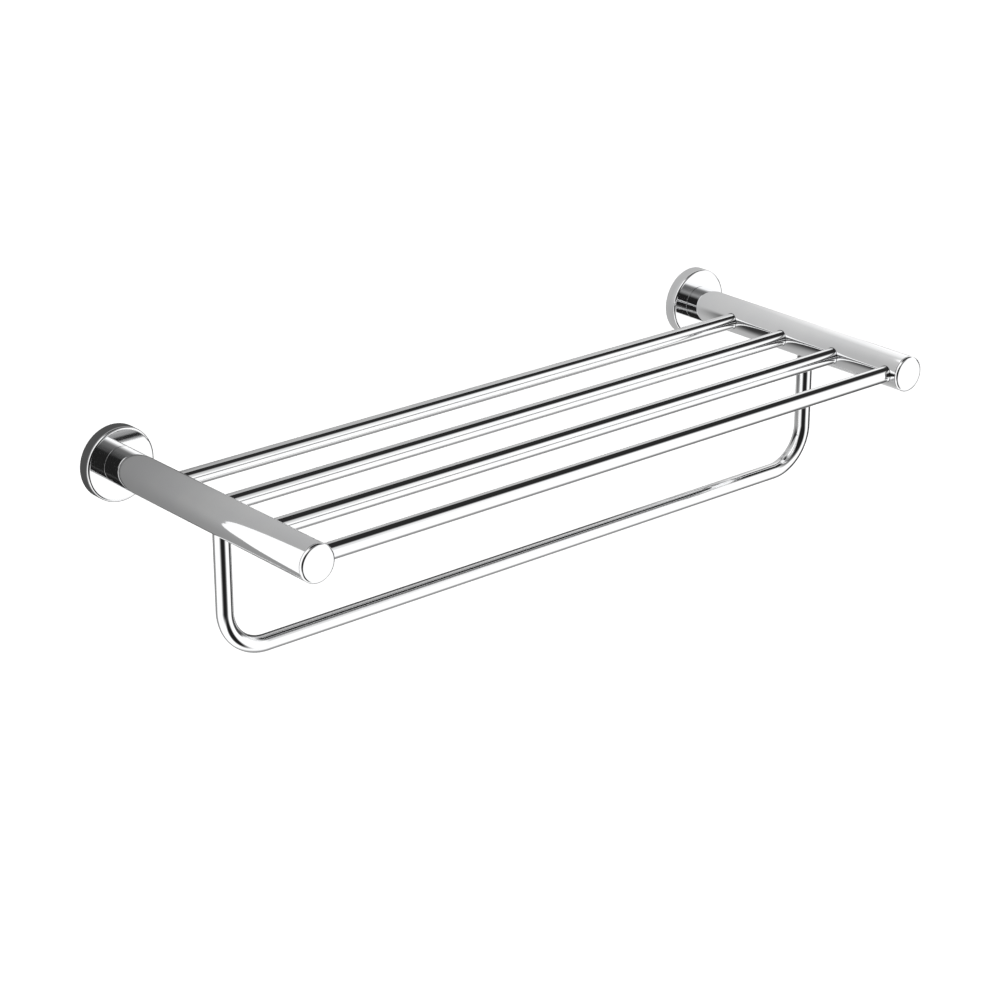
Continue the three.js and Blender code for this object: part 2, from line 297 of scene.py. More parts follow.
SHELF_SHADE = 0.08


def make_wall():
    """The wall that carries the shelf: a glow of painted light and painted shade. Only the chrome sees it,
    as a soft grey reflection.

    It is open right behind the rosettes, so that light reaches their backs.
    """
    wall = stage_plane("wall", [(x, WALL_Y, z) for x, z in WALL_CORNERS])
    wall.visible_camera = False
    wall.visible_diffuse = False
    wall.visible_shadow = False
    # The wall's material is an emission of painted light, with painted shadows, not the wall's own paint
    # colour
    material, g = new_material("wall_painted_light_and_shade")
    place = g.node("ShaderNodeTexCoord").outputs["Object"]
    split = g.node("ShaderNodeSeparateXYZ")
    g.put(split.inputs[0], place)
    x, z = split.outputs["X"], split.outputs["Z"]
    # Painted light: the glow grows brighter from left to right
    level = tone(WALL_GREYS[0][1])
    for (start, dull), (end, light) in zip(WALL_GREYS, WALL_GREYS[1:]):
        level = g.math("ADD", level, g.ramp(x, start, end, 0, tone(light) - tone(dull), smooth=False))
    # Painted shade: the glow darkens towards the wall's foot, below the shelf
    level = g.math("MULTIPLY", level, g.ramp(z, *WALL_FOOT_SHADE[0], WALL_FOOT_SHADE[1], 1.0))
    shade = 1.0
    for value, edges in ((x, SHELF_SHADE_X), (z, SHELF_SHADE_Z)):
        for edge in edges:
            shade = g.math("MULTIPLY", shade, g.ramp(value, *edge))
    level = g.math("MULTIPLY", level, g.ramp(shade, 0, 1, 1.0, SHELF_SHADE, smooth=False))
    behind = 0.0
    for side, depth in ROSETTE_SHADE.items():
        node = f"{side}_rosette"
        away = g.vector("DISTANCE", place, tuple(centre_of(node)), output=1)
        level = g.math("MULTIPLY", level, g.ramp(away, *SHADE_REACH, depth, 1.0))
        level = g.math("MULTIPLY", level, g.ramp(away, *RIM_REACH, RIM_SHADE[side], 1.0))
        covered = g.math("LESS_THAN", away, extent_of(node, ALONG) / 2)
        behind = g.math("MAXIMUM", behind, covered)
    emission = g.node("ShaderNodeEmission")
    g.put(emission.inputs["Strength"], level)
    opening = g.node("ShaderNodeMixShader")
    g.put(opening.inputs[0], behind)
    g.put(opening.inputs[1], emission.outputs[0])
    g.put(opening.inputs[2], g.node("ShaderNodeBsdfTransparent").outputs[0])
    g.surface(opening)
    wall.data.materials.append(material)


# ---------------------------------------------------------------- materials

# Noise scales, the stretch of a noise's values that a ramp spreads out, and what it is spread to
NOISE_MIDDLE = (0.3, 0.7)
HAZE_SCALE, HAZE_TINTS = 38.0, (0.35, 0.65)
WIPE_SCALE, WIPE_STRETCH, WIPE_PEAKS = 140.0, (0.3, 1.0, 2.2), (0.5, 0.8)
GRAIN_SCALE, GRAIN_PEAKS = 900.0, (0.4, 0.8)
CHROME_CLEAN, CHROME_DULLED = (0.955, 0.957, 0.96, 1), (0.93, 0.935, 0.945, 1)
HAZE_ROUGHNESS, WIPE_ROUGHNESS, GRAIN_ROUGHNESS = (0.022, 0.05), (0.0, 0.03), (0.0, 0.015)
CHROME_BUMP = (0.012, 0.2 * MM)

TURNING_SCALE, METAL_CLOUD_SCALE = 900.0, 160.0
PACKED_ALONG_Z, PACKED_ALONG_Y = (1, 1, 6), (1, 6, 1)
MARK_DARKNESS, MARK_ROUGHNESS = 0.5, 0.18
TURNING_BUMP = (0.2, 0.1 * MM)

NYLON_CLOUD_SCALE, NYLON_GRAIN_SCALE = 220.0, 2600.0
NYLON_SHADED, NYLON_CLEAN = (0.78, 0.77, 0.71, 1), (0.86, 0.85, 0.80, 1)
NYLON_ROUGHNESS = (0.42, 0.6)
NYLON_SCATTER, NYLON_SCATTER_DEPTH = 0.15, 1 * MM
NYLON_BUMP = (0.25, 0.05 * MM)


def chrome():
    """Mirror-polished chrome plate: a clear reflection with faint wipe marks and polishing haze."""
    material, g = new_material("polished_chrome")
    place = g.node("ShaderNodeTexCoord").outputs["Object"]
    haze = g.noise(place, HAZE_SCALE, detail=4)
    wipes = g.noise(g.vector("MULTIPLY", place, WIPE_STRETCH), WIPE_SCALE, detail=3)
    grain = g.noise(place, GRAIN_SCALE, detail=3)
    shader = g.node("ShaderNodeBsdfPrincipled")
    g.put(shader.inputs["Metallic"], 1.0)
    tint = g.colours(g.ramp(haze, *HAZE_TINTS), CHROME_DULLED, CHROME_CLEAN)
    g.put(shader.inputs["Base Color"], tint)
    hazy = g.ramp(haze, *NOISE_MIDDLE, *HAZE_ROUGHNESS)
    wiped = g.ramp(wipes, *WIPE_PEAKS, *WIPE_ROUGHNESS)
    grainy = g.ramp(grain, *GRAIN_PEAKS, *GRAIN_ROUGHNESS)
    rough = g.math("ADD", g.math("ADD", hazy, wiped), grainy)
    g.put(shader.inputs["Roughness"], rough)
    g.put(shader.inputs["Normal"], g.bump(grain, *CHROME_BUMP))
    g.surface(shader)
    return material


def turned_metal(name, dark, light, roughness, stretch=PACKED_ALONG_Z):
    """Machined metal: fine turning marks, packed close along one axis, over a cloudy tone."""
    material, g = new_material(name)
    place = g.node("ShaderNodeTexCoord").outputs["Object"]
    marks = g.noise(g.vector("MULTIPLY", place, stretch), TURNING_SCALE, detail=5)
    cloud = g.noise(place, METAL_CLOUD_SCALE, detail=3)
    shader = g.node("ShaderNodeBsdfPrincipled")
    g.put(shader.inputs["Metallic"], 1.0)
    tint = g.colours(g.ramp(cloud, *NOISE_MIDDLE), dark, light)
    marked = g.colours(g.ramp(marks, *NOISE_MIDDLE, 0.0, MARK_DARKNESS), tint, dark)
    g.put(shader.inputs["Base Color"], marked)
    rough = g.ramp(marks, *NOISE_MIDDLE, roughness, roughness + MARK_ROUGHNESS)
    g.put(shader.inputs["Roughness"], rough)
    g.put(shader.inputs["Normal"], g.bump(marks, *TURNING_BUMP))
    g.surface(shader)
    return material


def moulded_nylon():
    """Natural nylon: off-white, a little translucent, with the fine grain of a moulding tool."""
    material, g = new_material("plug_nylon")
    place = g.node("ShaderNodeTexCoord").outputs["Object"]
    cloud = g.noise(place, NYLON_CLOUD_SCALE, detail=3)
    grain = g.noise(place, NYLON_GRAIN_SCALE, detail=2)
    shader = g.node("ShaderNodeBsdfPrincipled")
    tint = g.colours(g.ramp(cloud, *NOISE_MIDDLE), NYLON_SHADED, NYLON_CLEAN)
    g.put(shader.inputs["Base Color"], tint)
    g.put(shader.inputs["Roughness"], g.ramp(grain, *NOISE_MIDDLE, *NYLON_ROUGHNESS))
    g.put(shader.inputs["Subsurface Weight"], NYLON_SCATTER)
    g.put(shader.inputs["Subsurface Scale"], NYLON_SCATTER_DEPTH)
    g.put(shader.inputs["Normal"], g.bump(grain, *NYLON_BUMP))
    g.surface(shader)
    return material


# ---------------------------------------------------------------- turned pieces

def outline(corners, closed):
    """Points and outward normals of a turned outline, counter-clockwise in (radius, height).

    A corner is (radius, height, fillet); a fillet above 0 rounds that corner with an arc.
    """
    count = len(corners)
    points = []
    for i, (r, h, fillet) in enumerate(corners):
        here = Vector((r, h))
        if not closed and i in (0, count - 1):
            points.append((here, None))
            continue
        inward = (Vector(corners[i - 1][:2]) - here).normalized()
        onward = (Vector(corners[(i + 1) % count][:2]) - here).normalized()
        half = inward.angle(onward) / 2
        reach = fillet / math.tan(half)
        start, stop = here + inward * reach, here + onward * reach
        middle = here + (inward + onward).normalized() * (fillet / math.sin(half))
        first, last = start - middle, stop - middle
        sweep = first.angle_signed(last)
        convex = 1 if sweep < 0 else -1
        for step in range(FILLET_STEPS + 1):
            spoke = Matrix.Rotation(-sweep * step / FILLET_STEPS, 2) @ first
            points.append((middle + spoke, spoke.normalized() * convex))
    if not closed:
        for i, nearby in ((0, 1), (-1, -2)):
            along = (points[nearby][0] - points[i][0]) * (1 if i == 0 else -1)
            points[i] = (points[i][0], Vector((along.y, -along.x)).normalized())
    return points


def axis_frame(axis, origin):
    """The placement that puts a piece turned about +Z on the axis through origin."""
    return Matrix.Translation(origin) @ UP.rotation_difference(axis).to_matrix().to_4x4()


def skin_faces(index, closed):
    """Quads between rings of vertex numbers; a ring of one vertex is a point on the axis."""
    faces = []
    for i in range(len(index) if closed else len(index) - 1):
        low, high = index[i], index[(i + 1) % len(index)]
        for k in range(max(len(low), len(high))):
            n = (k + 1) % max(len(low), len(high))
            if len(low) == 1:
                faces.append((low[0], high[n], high[k]))
            elif len(high) == 1:
                faces.append((low[k], low[n], high[0]))
            else:
                faces.append((low[k], low[n], high[n], high[k]))
    return faces


def piece(name, vertices, faces):
    mesh = bpy.data.meshes.new(name)
    mesh.from_pydata(vertices, [], faces)
    mesh.validate()
    mesh.shade_smooth()
    made = bpy.data.objects.new(name, mesh)
    bpy.context.scene.collection.objects.link(made)
    return made


def lathe(name, corners, axis, origin, closed=False, facets=ROUND):
    """A turned piece about axis through origin, with exact surface normals."""
    rings = outline(corners, closed)
    place = axis_frame(axis, origin)
    vertices, normals, index = [], [], []
    for point, normal in rings:
        row = []
        for k in range(1 if point.x < ON_AXIS else facets):
            angle = 2 * math.pi * k / facets
            spread = Vector((math.cos(angle), math.sin(angle), 0))
            row.append(len(vertices))
            vertices.append(place @ (spread * point.x + UP * point.y))
            lean = spread * (normal.x if point.x > ON_AXIS else 0) + UP * normal.y
            normals.append((place.to_3x3() @ lean).normalized())
        index.append(row)
    made = piece(name, vertices, skin_faces(index, closed))
    made.data.normals_split_custom_set_from_vertices(normals)
    return made


def loft(name, rings, axis, origin, closed=False, facets=SCREW_ROUND):
    """A piece of stacked rings, each (radius, height); a radius is a number or a function of angle."""
    place = axis_frame(axis, origin)
    vertices, index = [], []
    for radius, height in rings:
        row = []
        for k in range(1 if radius == 0 else facets):
            angle = 2 * math.pi * k / facets
            reach = radius(angle) if callable(radius) else radius
            row.append(len(vertices))
            vertices.append(place @ Vector((reach * math.cos(angle), reach * math.sin(angle), height)))
        index.append(row)
    made = piece(name, vertices, skin_faces(index, closed))
    made.data.set_sharp_from_angle(angle=SHARP)
    return made


def hexagon(across_flats):
    """A function that gives the radius of a hexagon at an angle."""
    def radius(angle):
        return across_flats / 2 / math.cos((angle + math.pi / 6) % (math.pi / 3) - math.pi / 6)
    return radius


def thread(size, low, high, hollow=False):
    """Rings of a screw thread from height low to high: a groove that climbs one pitch in each turn."""
    nominal, pitch = size
    cut = THREAD_CUT * pitch
    rings = []
    count = max(2, round((high - low) / pitch * RINGS_PER_PITCH))
    for i in range(count + 1):
        height = low + (high - low) * i / count
        run_out = min(1.0, (height - low) / pitch, (high - height) / pitch)

        def radius(angle, height=height, depth=cut * run_out):
            phase = (height / pitch - angle / (2 * math.pi)) % 1
            groove = min(1.0, max(0.0, FLANK_HEIGHT - abs(phase - 0.5) * FLANK_SLOPE)) * depth
            return nominal + groove if hollow else nominal - groove
        rings.append((radius, height))
    return rings[::-1] if hollow else rings


# ---------------------------------------------------------------- drilled holes

Hole = namedtuple("Hole", "start axis radius depth")

# A face belongs to a hole's wall when its middle is off the hole's radius by no more than this share,
# and the product of its normal and its spoke from the axis is above this
HOLE_RADIUS_SHARE, HOLE_FACING = 0.02, 0.98


def cutter_for(holes):
    bm = bmesh.new()
    for hole in holes:
        place = axis_frame(hole.axis, hole.start) @ Matrix.Translation((0, 0, hole.depth / 2))
        bmesh.ops.create_cone(bm, cap_ends=True, segments=HOLE_ROUND, radius1=hole.radius,
                              radius2=hole.radius, depth=hole.depth, matrix=place)
    mesh = bpy.data.meshes.new("cutter")
    bm.to_mesh(mesh)
    bm.free()
    cutter = bpy.data.objects.new("cutter", mesh)
    bpy.context.scene.collection.objects.link(cutter)
    return cutter


def settled_mesh(made):
    """The object's mesh with its modifiers applied."""
    graph = bpy.context.evaluated_depsgraph_get()
    return bpy.data.meshes.new_from_object(made.evaluated_get(graph))


def drill(made, holes):
    """Cuts round holes, all at once, into a closed piece."""
    cutter = cutter_for(holes)
    cut = made.modifiers.new("holes", "BOOLEAN")
    cut.object = cutter
    cut.solver = "EXACT"
    mesh = settled_mesh(made)
    made.modifiers.clear()
    made.data = mesh
    bpy.data.objects.remove(cutter)
    bm = bmesh.new()
    bm.from_mesh(mesh)
    bmesh.ops.remove_doubles(bm, verts=bm.verts, dist=MERGE_DISTANCE)
    bm.to_mesh(mesh)
    bm.free()
    mesh.name = made.name
    mesh.shade_smooth()


def in_hole(hole, face):
    """Whether a face is part of the hole's round wall."""
    across = face.center - hole.start
    across -= hole.axis * across.dot(hole.axis)
    near = abs(across.length - hole.radius) < HOLE_RADIUS_SHARE * hole.radius
    return near and abs(across.normalized().dot(face.normal)) > HOLE_FACING


def set_normals(made, skin, holes):
    """Exact normals: the hole's own on its wall, and skin(point, face) everywhere else."""
    mesh = made.data
    normals = [None] * len(mesh.loops)
    for face in mesh.polygons:
        hole = next((entry for entry in holes if in_hole(entry, face)), None)
        for corner in face.loop_indices:
            point = mesh.vertices[mesh.loops[corner].vertex_index].co
            if hole:
                across = hole.start - point
                normals[corner] = (across - hole.axis * across.dot(hole.axis)).normalized()
            else:
                normals[corner] = skin(point, face)
    mesh.normals_split_custom_set(normals)


def turned_skin(corners, axis, origin):
    """A skin function for a ring-shaped turned piece: the normal of the nearest stretch of its outline."""
    rings = outline(corners, closed=True)
    stretches = list(zip(rings, rings[1:] + rings[:1]))
    back = axis_frame(axis, origin).inverted()
    forth = axis_frame(axis, origin).to_3x3()

    def skin(point, face):
        local = back @ point
        spread = Vector((local.x, local.y))
        flat = Vector((spread.length, local.z))
        best = None
        for (a, normal_a), (b, normal_b) in stretches:
            run = b - a
            share = (flat - a).dot(run) / max(run.length_squared, NO_STRETCH)
            share = min(1.0, max(0.0, share))
            distance = (flat - a - run * share).length
            if best is None or distance < best[0]:
                best = (distance, normal_a.lerp(normal_b, share))
        out = spread.normalized() * best[1].x
        return (forth @ Vector((out.x, out.y, best[1].y))).normalized()
    return skin


def turned_and_drilled(name, corners, axis, origin, holes):
    """A ring-shaped turned piece, with round holes through its wall."""
    made = lathe(name, corners, axis, origin, closed=True)
    drill(made, holes)
    set_normals(made, turned_skin(corners, axis, origin), holes)
    return made


# ---------------------------------------------------------------- places from the CAD boxes

def centre_of(node):
    lo, hi = box_of(node)
    return (lo + hi) / 2


def extent_of(node, axis):
    """Length of a node's box along an axis."""
    lo, hi = box_of(node)
    return abs((hi - lo).dot(axis))


def start_of(node, axis):
    """The centre of the end of a node's box that the axis starts from."""
    return centre_of(node) - axis * (extent_of(node, axis) / 2)


def finish_piece(made, node, slot):
    made.data.materials.clear()
    made.data.materials.append(MATERIALS[slot])
    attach(made, "root")
    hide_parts(node)


# ---------------------------------------------------------------- wall fixing

def circle_points(radius, centre=(0, 0), count=HOLE_ROUND, start=0.0, sweep=2 * math.pi):
    steps = [start + sweep * k / count for k in range(count)]
    return [(centre[0] + radius * math.cos(a), centre[1] + radius * math.sin(a)) for a in steps]


def slot_points(x):
    """A slot that stands upright at x: two half rounds and the straights between them."""
    rise = (SLOT_LENGTH - SLOT_WIDTH) / 2
    count = HOLE_ROUND // 2
    top = circle_points(SLOT_WIDTH / 2, (x, rise), count, 0, math.pi)
    foot = circle_points(SLOT_WIDTH / 2, (x, -rise), count, math.pi, math.pi)
    return top + [(x - SLOT_WIDTH / 2, rise)] + foot + [(x + SLOT_WIDTH / 2, -rise)]


def wall_plate(side):
    """The punched and bevelled disc that the wall screws hold."""
    node = f"{side}_wall_plate"
    middle = centre_of(node)
    radius, thickness = extent_of(node, ALONG) / 2, extent_of(node, TO_ROOM)
    sheet = bpy.data.curves.new(node, "CURVE")
    sheet.dimensions, sheet.fill_mode = "2D", "BOTH"
    sheet.extrude, sheet.bevel_depth = thickness / 2 - PLATE_BEVEL, PLATE_BEVEL
    sheet.offset, sheet.bevel_resolution = -PLATE_BEVEL, PLATE_BEVEL_STEPS
    loops = [circle_points(radius, count=ROUND), circle_points(PLATE_BORE_RADIUS)]
    loops += [slot_points(SLOT_OFFSET), slot_points(-SLOT_OFFSET)]
    for points in loops:
        spline = sheet.splines.new("POLY")
        spline.points.add(len(points) - 1)
        spline.use_cyclic_u = True
        for spot, (x, z) in zip(spline.points, points):
            spot.co = (x, z, 0, 1)
    blank = bpy.data.objects.new(node, sheet)
    bpy.context.scene.collection.objects.link(blank)
    bm = bmesh.new()
    bm.from_mesh(settled_mesh(blank))
    bpy.data.objects.remove(blank)
    bmesh.ops.remove_doubles(bm, verts=bm.verts, dist=MERGE_DISTANCE)
    bmesh.ops.recalc_face_normals(bm, faces=bm.faces)
    bm.transform(Matrix.Translation(middle) @ Matrix.Rotation(math.pi / 2, 4, "X"))
    mesh = bpy.data.meshes.new(node)
    bm.to_mesh(mesh)
    bm.free()
    made = bpy.data.objects.new(f"{side}_plate", mesh)
    bpy.context.scene.collection.objects.link(made)
    seat = middle + DOWN * (radius - PLATE_SEAT_INSET)
    drill(made, [Hole(seat, DOWN, M5[0] + GAP, PLATE_SEAT_DEPTH)])
    made.data.set_sharp_from_angle(angle=SHARP)
    finish_piece(made, node, "plate_steel")


def rosette(side):
    """The cover cup over the wall plate, open to the wall, with a hole for its grub screw."""
    node = f"{side}_rosette"
    radius, depth = extent_of(node, ALONG) / 2, extent_of(node, TO_ROOM)
    bore, floor = M8[0] + GAP, depth - ROSETTE_WALL
    corners = [
        (bore, floor, HIDDEN_EDGE),
        (radius - ROSETTE_WALL, floor, ROSETTE_INNER_FILLET),
        (radius - ROSETTE_WALL, 0, SMALL_EDGE),
        (radius, 0, ROSETTE_BACK_FILLET),
        (radius, depth, ROSETTE_FILLET),
        (bore, depth, HIDDEN_EDGE),
    ]
    screw = centre_of(f"{side}_rosette_grub_screw")
    hole = Hole(screw + UP * ROSETTE_HOLE_RISE, DOWN, M5[0] + GAP, ROSETTE_HOLE_LENGTH)
    start = start_of(node, TO_ROOM)
    made = turned_and_drilled(f"{side}_rosette_cup", corners, TO_ROOM, start, [hole])
    finish_piece(made, node, "polished_chrome")


def grub_screw(node, axis, size, socket):
    """A headless screw: its blunt cone point at the start of the axis, its hexagon socket at the end."""
    length = extent_of(node, axis)
    radius, key = size[0], hexagon(socket)
    tip, edge = radius / 2, SOFT_EDGE
    rings = [(0, 0), (tip, 0), (radius - edge, radius - tip)]
    rings += thread(size, radius - tip + edge, length - edge)
    rings += [(radius - 2 * edge, length), (hexagon(socket + edge), length), (key, length - edge)]
    rings += [(key, length / 2), (0, length / 2 - edge)]
    made = loft(f"{node}_body", rings, axis, start_of(node, axis))
    finish_piece(made, node, "screw_steel")


def post_washer(side):
    node = f"{side}_post_washer"
    outer, depth = extent_of(node, ALONG) / 2, extent_of(node, TO_ROOM)
    bore, edge = M8[0] + GAP, FINE_EDGE
    corners = [(bore, 0, edge), (outer, 0, edge), (outer, depth, edge), (bore, depth, edge)]
    made = lathe(f"{side}_washer", corners, TO_ROOM, start_of(node, TO_ROOM), True, TUBE_ROUND)
    finish_piece(made, node, "screw_steel")


HEAD_HEIGHT, HEAD_RADIUS, HEAD_SOCKET, HEAD_SOCKET_DEPTH = 5 * MM, 6.5 * MM, 5 * MM, 3 * MM
KNURL_RIDGES, KNURL_DEPTH = 32, 0.25 * MM
MACHINED_EDGE = 0.5 * MM


def knurled(radius):
    """A function that gives the radius of a knurled head at an angle."""
    return lambda angle: radius - KNURL_DEPTH * (0.5 - 0.5 * math.cos(KNURL_RIDGES * angle))


def post_screw(side):
    """The cap screw that pulls the arm on to the rosette, with a knurled head and a hexagon socket."""
    node = f"{side}_post_screw"
    length = extent_of(node, TO_ROOM)
    key, edge = hexagon(HEAD_SOCKET), MACHINED_EDGE
    head = HEAD_RADIUS - KNURL_DEPTH
    rings = [(0, HEAD_SOCKET_DEPTH + edge), (key, HEAD_SOCKET_DEPTH), (key, edge)]
    rings += [(hexagon(HEAD_SOCKET + edge), 0), (head - edge, 0), (head, edge)]
    rings += [(knurled(HEAD_RADIUS), 2 * edge), (knurled(HEAD_RADIUS), HEAD_HEIGHT - edge)]
    rings += [(head, HEAD_HEIGHT - edge / 2), (head - edge / 2, HEAD_HEIGHT)]
    rings += [(M8[0] + edge / 2, HEAD_HEIGHT), (M8[0] - edge / 4, HEAD_HEIGHT + edge / 2)]
    rings += thread(M8, HEAD_HEIGHT + edge, length - 2 * edge)
    rings += [(M8[0] - 2 * edge, length), (0, length)]
    made = loft(f"{side}_cap_screw", rings, TO_ROOM, start_of(node, TO_ROOM), facets=4 * KNURL_RIDGES)
    finish_piece(made, node, "screw_steel")


def arm_insert(side):
    """The brass block in the arm's wall end, with a blind tapped hole."""
    node = f"{side}_arm_insert"
    radius, length = extent_of(node, ALONG) / 2, extent_of(node, TO_ROOM)
    bore, edge = M8[0] + GAP / 2, MACHINED_EDGE
    tapped = length - INSERT_SOLID_END
    rings = [(0, tapped + 2 * edge), (bore, tapped)]
    rings += thread((bore, M8[1]), edge, tapped - edge, hollow=True)
    rings += [(bore + edge, 0), (radius - edge, 0), (radius, edge)]
    rings += [(radius, length - edge), (radius - edge, length), (0, length)]
    made = loft(f"{side}_insert", rings, TO_ROOM, start_of(node, TO_ROOM), facets=TUBE_ROUND)
    finish_piece(made, node, "spigot_brass")


# ---------------------------------------------------------------- shelf

def arm(side):
    """The arm tube, drilled on its inner side for the rails and underneath for the bar's spigot."""
    node = f"{side}_arm_tube"
    radius, length = extent_of(node, UP) / 2, extent_of(node, TO_ROOM)
    corners = [
        (radius - ARM_WALL, 0, HIDDEN_EDGE),
        (radius, 0, FINE_EDGE),
        (radius, length, FINE_EDGE),
        (radius - ARM_WALL, length, HIDDEN_EDGE),
    ]
    start = start_of(node, TO_ROOM)
    inward = ALONG if side == "left" else -ALONG
    holes = []
    for number in RAILS:
        rail_node = f"shelf_rail_{number}"
        place = centre_of(rail_node)
        inside = Vector((start.x, place.y, place.z))
        holes.append(Hole(inside, inward, extent_of(rail_node, UP) / 2 + GAP, 2 * radius))
    spigot = centre_of(f"{side}_bar_spigot")
    inside = Vector((start.x, spigot.y, start.z))
    holes.append(Hole(inside, DOWN, M6[0] + GAP, 2 * radius))
    made = turned_and_drilled(f"{side}_arm", corners, TO_ROOM, start, holes)
    finish_piece(made, node, "polished_chrome")


def cap(side):
    """The flat cap on the front of an arm, with a hollow spigot that plugs into the tube."""
    node = f"{side}_end_cap"
    radius, depth = extent_of(node, UP) / 2, extent_of(node, TO_ROOM)
    start = start_of(node, TO_ROOM)
    tube = start_of(f"{side}_arm_tube", TO_WALL)
    seat = start.y - tube.y + GAP
    spigot = radius - ARM_WALL - GAP
    inner = spigot - CAP_SPIGOT_WALL
    corners = [
        (0, seat, 0),
        (inner, seat, HIDDEN_EDGE),
        (inner, 0, HIDDEN_EDGE),
        (spigot, 0, SOFT_EDGE),
        (spigot, seat, HIDDEN_EDGE),
        (radius, seat, FINE_EDGE),
        (radius, depth, CAP_FILLET),
        (0, depth, 0),
    ]
    made = lathe(f"{side}_cap", corners, TO_ROOM, start)
    finish_piece(made, node, "polished_chrome")


def rail(number):
    node = f"shelf_rail_{number}"
    radius, length = extent_of(node, UP) / 2, extent_of(node, ALONG)
    corners = [
        (radius - TUBE_WALL, 0, HIDDEN_EDGE),
        (radius, 0, SMALL_EDGE),
        (radius, length, SMALL_EDGE),
        (radius - TUBE_WALL, length, HIDDEN_EDGE),
    ]
    made = lathe(f"rail_{number}", corners, ALONG, start_of(node, ALONG), True, TUBE_ROUND)
    finish_piece(made, node, "polished_chrome")


PLUG_STEM_LENGTH = 8 * MM

# Ribs of a plug: where each begins as a share of the stem, how deep the stem is cut between them,
# and how far a rib has risen, stays level and ends after its beginning
RIB_SHARES = (0.2, 0.45, 0.7)
RIB_DEPTH = 0.6 * MM
RIB_RISEN, RIB_LEVEL, RIB_END = 0.7 * MM, 1.1 * MM, 1.2 * MM


def rail_end_plug(number, side):
    """A moulded plug: a ribbed stem inside the rail and a flange that bears on the arm."""
    node = f"rail_end_plug_{side}_{number}"
    axis = -ALONG if side == "left" else ALONG
    length, flange = extent_of(node, axis), extent_of(node, UP) / 2
    stem = extent_of(f"shelf_rail_{number}", UP) / 2 - TUBE_WALL - GAP
    root = stem - RIB_DEPTH
    corners = [(0, 0, 0), (root, 0, SOFT_EDGE)]
    for share in RIB_SHARES:
        place = PLUG_STEM_LENGTH * share
        corners += [(root, place, HIDDEN_EDGE), (stem, place + RIB_RISEN, FINE_EDGE)]
        corners += [(stem, place + RIB_LEVEL, HIDDEN_EDGE), (root, place + RIB_END, HIDDEN_EDGE)]
    shoulder = PLUG_STEM_LENGTH + GAP
    corners += [(root, shoulder, HIDDEN_EDGE), (flange, shoulder, FINE_EDGE)]
    corners += [(flange, length, SOFT_EDGE), (0, length, 0)]
    made = lathe(f"rail_{number}_plug_{side}", corners, axis, start_of(node, axis), facets=SCREW_ROUND)
    finish_piece(made, node, "plug_nylon")


# ---------------------------------------------------------------- lower towel bar

# Where the product of a face's normal and its spoke from the centre line is below this, the face is
# part of a coped end
COPED_FACING = 0.7


def bar_bend(side):
    """The x of the bar's leg on a side, -1 or 1, and the centre of the bend below it."""
    lo, hi = box_of("towel_bar")
    radius = (hi.y - lo.y) / 2
    leg = hi.x - radius if side > 0 else lo.x + radius
    low = lo.z + radius
    return leg, Vector((leg - side * BEND_RADIUS, (lo.y + hi.y) / 2, low + BEND_RADIUS))


def bar_line(point):
    """The nearest point of the bar's centre line: two legs, two bends and the straight between."""
    side = 1 if point.x > centre_of("towel_bar").x else -1
    leg, centre = bar_bend(side)
    y, low = centre.y, centre.z - BEND_RADIUS
    if point.z >= centre.z:
        return Vector((leg, y, point.z))
    if (centre.x - point.x) * side >= 0:
        return Vector((point.x, y, low))
    out = Vector((point.x - centre.x, 0, point.z - centre.z)).normalized()
    return centre + out * BEND_RADIUS


def bar_stations():
    """Centre points and outward directions down one leg, along, and up the other."""
    top = box_of("towel_bar")[1].z
    bends = []
    for side in (-1, 1):
        leg, centre = bar_bend(side)
        bend = [(Vector((leg, centre.y, top)), ALONG * side)]
        for step in range(BEND_STEPS + 1):
            angle = math.pi / 2 * step / BEND_STEPS
            out = Vector((side * math.cos(angle), 0, -math.sin(angle)))
            bend.append((centre + out * BEND_RADIUS, out))
        bends.append(bend)
    return bends[0] + bends[1][::-1]


def bar_skin():
    """The bar's skin function: round the centre line outside and inside, flat on the coped ends."""
    def skin(point, face):
        facing = face.normal.dot((face.center - bar_line(face.center)).normalized())
        if abs(facing) < COPED_FACING:
            return face.normal.copy()
        return (point - bar_line(point)).normalized() * math.copysign(1, facing)
    return skin


def towel_bar():
    """The bent tube, its two ends coped to fit the arms, drilled for its grub screws."""
    node = "towel_bar"
    radius = extent_of(node, TO_ROOM) / 2
    cope = extent_of("left_arm_tube", UP) / 2 + GAP
    path = bar_stations()
    vertices, index = [], []
    for skin_radius, order in ((radius, 1), (radius - TUBE_WALL, -1)):
        for k in range(len(path))[::order]:
            centre, out = path[k]
            row = []
            for j in range(TUBE_ROUND):
                angle = 2 * math.pi * j / TUBE_ROUND
                spot = centre + (out * math.cos(angle) + TO_WALL * math.sin(angle)) * skin_radius
                if k in (0, len(path) - 1):
                    spot.z = -math.sqrt(cope ** 2 - (spot.x - centre.x) ** 2)
                row.append(len(vertices))
                vertices.append(spot)
            index.append(row)
    made = piece("bar", vertices, skin_faces(index, True))
    holes = []
    for side in SUPPORTS:
        screw = centre_of(f"{side}_bar_grub_screw")
        inside = Vector((screw.x, centre_of(node).y, screw.z))
        holes.append(Hole(inside, TO_WALL, M4[0] + GAP, 2 * radius))
    drill(made, holes)
    set_normals(made, bar_skin(), holes)
    finish_piece(made, node, "polished_chrome")


